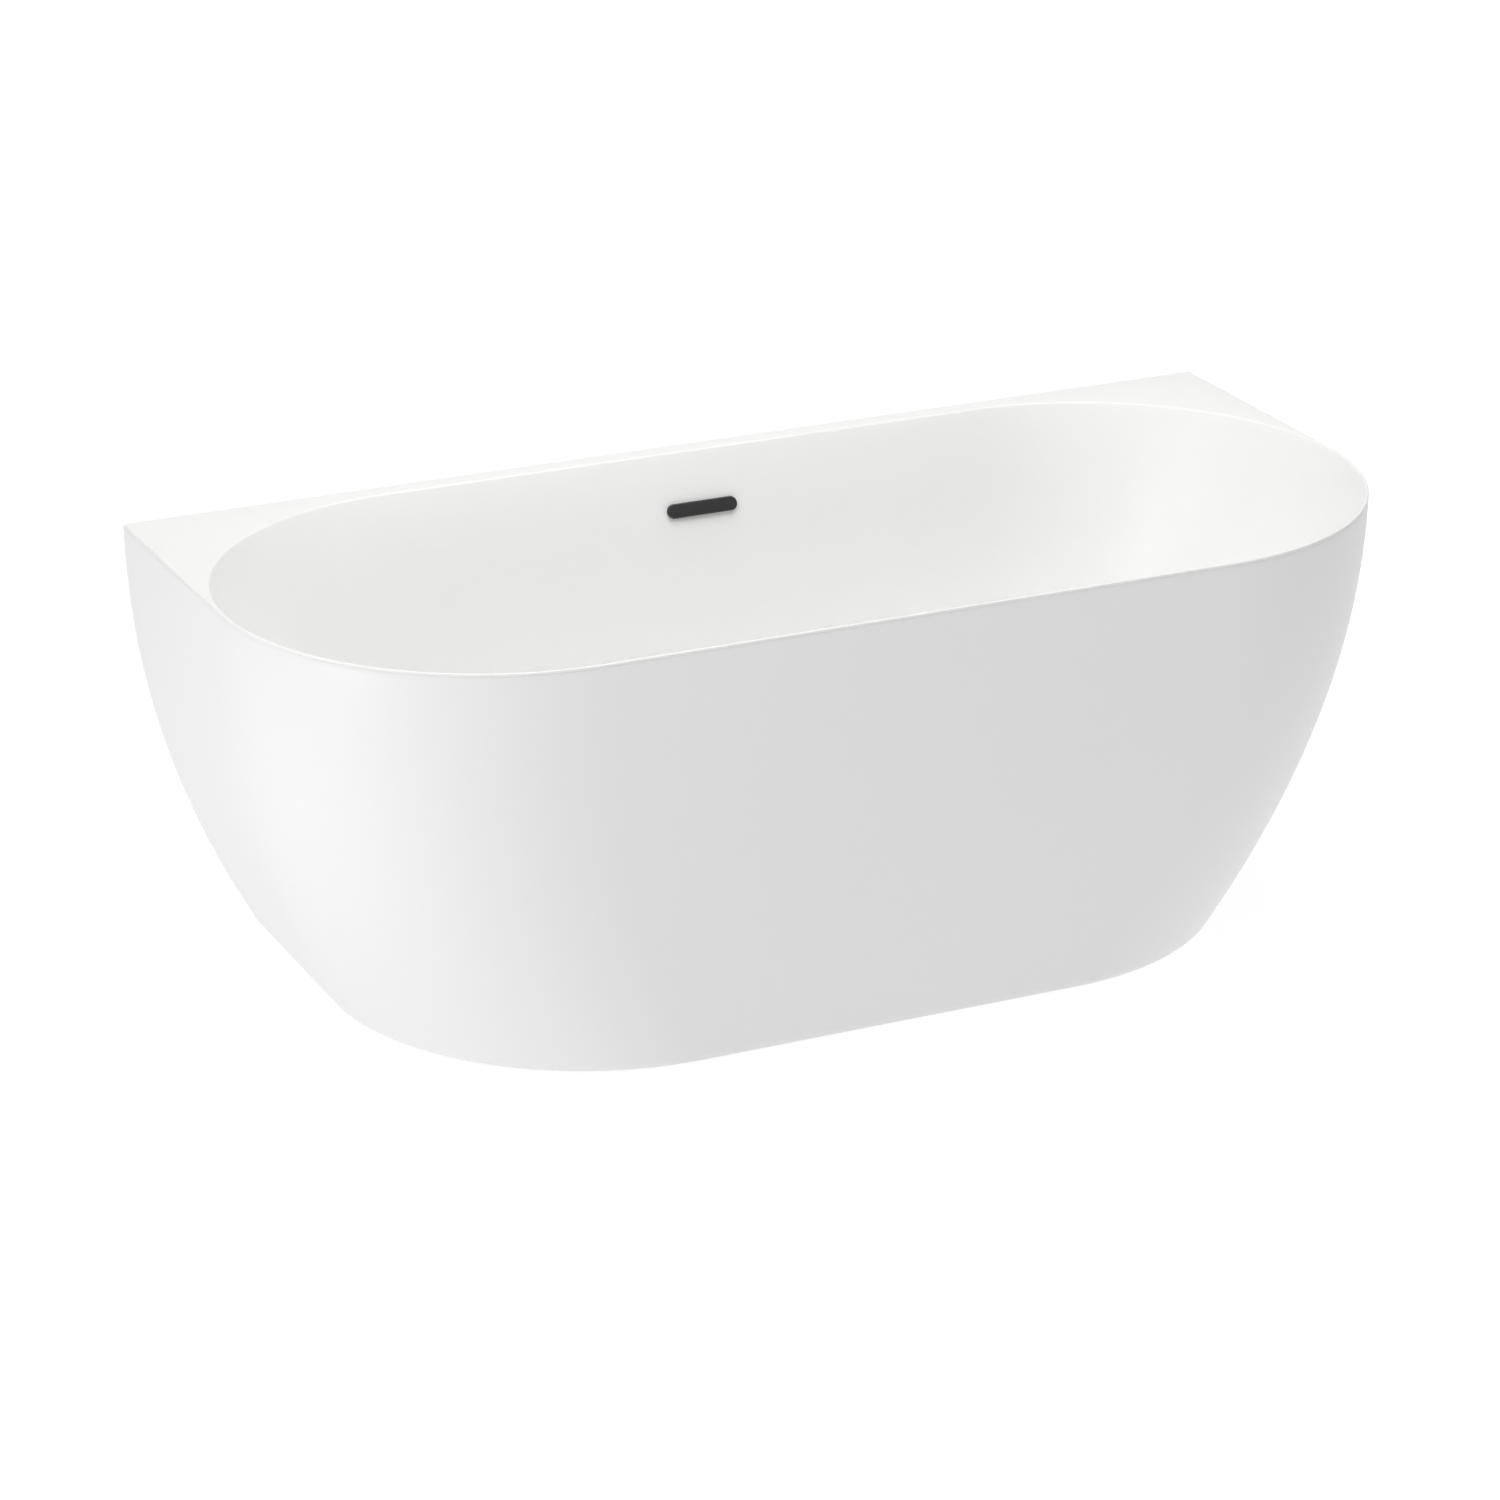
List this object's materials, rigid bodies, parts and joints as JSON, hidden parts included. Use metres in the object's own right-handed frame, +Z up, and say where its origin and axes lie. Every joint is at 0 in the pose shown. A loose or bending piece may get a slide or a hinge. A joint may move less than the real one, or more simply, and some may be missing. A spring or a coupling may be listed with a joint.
{
  "type": "freestanding bathtub",
  "caption": "D-shaped back-to-wall bathtub: thin-rimmed oval basin in a curved skirt, slim overflow, click-clack waste with trap, and steel frame on levelling feet.",
  "frame": {"origin": "on the floor, at the centre of the bounding box's base", "axes": "+X along the tub's length, to the right as seen from the front; +Y towards the wall behind it; +Z up"},
  "size_m": [1.6, 0.75, 0.6],
  "materials": {
    "white_acrylic": "satin",
    "chipboard": "raw particle board",
    "timber": "planed softwood",
    "frame_steel": "galvanised",
    "zinc_steel": "zinc plated",
    "pad_plastic": "matt",
    "matt_black": "matt powder coat",
    "rubber_seal": "matt",
    "grey_plastic": "moulded polypropylene",
    "hose_plastic": "corrugated",
    "black_plastic": "moulded",
    "spring_steel": "bright",
    "cartridge_brass": "machined"
  },
  "bodies": {
    "tub": {"tub_shell": "white_acrylic", "outer_skirt": "white_acrylic", "base_board": "chipboard", "rim_batten": "timber", "frame_rail_front": "frame_steel", "frame_rail_rear": "frame_steel", "cross_member_left": "frame_steel", "cross_member_middle": "frame_steel", "cross_member_right": "frame_steel", "foot_1_bracket": "frame_steel", "foot_2_bracket": "frame_steel", "foot_3_bracket": "frame_steel", "foot_4_bracket": "frame_steel", "foot_5_bracket": "frame_steel", "foot_6_bracket": "frame_steel", "foot_weld_nuts": "frame_steel", "foot_lock_nuts": "zinc_steel", "frame_screws": "zinc_steel", "overflow_cover": "matt_black", "overflow_gasket": "rubber_seal", "overflow_body": "grey_plastic", "overflow_screws": "spring_steel", "overflow_hose": "hose_plastic", "hose_nut_upper": "grey_plastic", "hose_nut_lower": "grey_plastic", "waste_flange": "matt_black", "flange_seal": "rubber_seal", "under_seal": "rubber_seal", "waste_lock_nut": "grey_plastic", "click_cartridge": "cartridge_brass", "cartridge_spring": "spring_steel", "waste_body": "grey_plastic", "trap_nut": "grey_plastic", "trap_body": "grey_plastic", "cleanout_cap": "black_plastic", "outlet_nut": "grey_plastic", "outlet_elbow": "grey_plastic", "outlet_pipe": "grey_plastic"},
    "foot_1": {"foot_1_pad": "pad_plastic"},
    "foot_1_spindle": {"foot_1_rod": "zinc_steel"},
    "foot_2": {"foot_2_pad": "pad_plastic"},
    "foot_2_spindle": {"foot_2_rod": "zinc_steel"},
    "foot_3": {"foot_3_pad": "pad_plastic"},
    "foot_3_spindle": {"foot_3_rod": "zinc_steel"},
    "foot_4": {"foot_4_pad": "pad_plastic"},
    "foot_4_spindle": {"foot_4_rod": "zinc_steel"},
    "foot_5": {"foot_5_pad": "pad_plastic"},
    "foot_5_spindle": {"foot_5_rod": "zinc_steel"},
    "foot_6": {"foot_6_pad": "pad_plastic"},
    "foot_6_spindle": {"foot_6_rod": "zinc_steel"},
    "plug": {"plug_cap": "matt_black", "plug_seal": "rubber_seal", "plug_stem": "spring_steel"}
  },
  "joints": [
    {"name": "foot_1_travel", "type": "slide", "parent": "tub", "child": "foot_1", "axis": [0, 0, -1], "range_m": [0, 0.02]},
    {"name": "foot_1_turn", "type": "hinge", "parent": "foot_1", "child": "foot_1_spindle", "pos_m": [-0.42, -0.181, 0.03], "axis": [0, 0, -1], "range_deg": [0, 4116]},
    {"name": "foot_2_travel", "type": "slide", "parent": "tub", "child": "foot_2", "axis": [0, 0, -1], "range_m": [0, 0.02]},
    {"name": "foot_2_turn", "type": "hinge", "parent": "foot_2", "child": "foot_2_spindle", "pos_m": [-0.08, -0.181, 0.03], "axis": [0, 0, -1], "range_deg": [0, 4116]},
    {"name": "foot_3_travel", "type": "slide", "parent": "tub", "child": "foot_3", "axis": [0, 0, -1], "range_m": [0, 0.02]},
    {"name": "foot_3_turn", "type": "hinge", "parent": "foot_3", "child": "foot_3_spindle", "pos_m": [0.42, -0.181, 0.03], "axis": [0, 0, -1], "range_deg": [0, 4116]},
    {"name": "foot_4_travel", "type": "slide", "parent": "tub", "child": "foot_4", "axis": [0, 0, -1], "range_m": [0, 0.02]},
    {"name": "foot_4_turn", "type": "hinge", "parent": "foot_4", "child": "foot_4_spindle", "pos_m": [-0.42, 0.159, 0.03], "axis": [0, 0, -1], "range_deg": [0, 4116]},
    {"name": "foot_5_travel", "type": "slide", "parent": "tub", "child": "foot_5", "axis": [0, 0, -1], "range_m": [0, 0.02]},
    {"name": "foot_5_turn", "type": "hinge", "parent": "foot_5", "child": "foot_5_spindle", "pos_m": [-0.08, 0.159, 0.03], "axis": [0, 0, -1], "range_deg": [0, 4116]},
    {"name": "foot_6_travel", "type": "slide", "parent": "tub", "child": "foot_6", "axis": [0, 0, -1], "range_m": [0, 0.02]},
    {"name": "foot_6_turn", "type": "hinge", "parent": "foot_6", "child": "foot_6_spindle", "pos_m": [0.42, 0.159, 0.03], "axis": [0, 0, -1], "range_deg": [0, 4116]},
    {"name": "plug_lift", "type": "slide", "parent": "tub", "child": "plug", "axis": [0, 0, 1], "range_m": [0, 0.01], "deforming": ["cartridge_spring"]}
  ],
  "couplings": [
    {"joint": "foot_1_turn", "follows": "foot_1_travel", "rad_per_m": 3590.4},
    {"joint": "foot_2_turn", "follows": "foot_2_travel", "rad_per_m": 3590.4},
    {"joint": "foot_3_turn", "follows": "foot_3_travel", "rad_per_m": 3590.4},
    {"joint": "foot_4_turn", "follows": "foot_4_travel", "rad_per_m": 3590.4},
    {"joint": "foot_5_turn", "follows": "foot_5_travel", "rad_per_m": 3590.4},
    {"joint": "foot_6_turn", "follows": "foot_6_travel", "rad_per_m": 3590.4}
  ]
}
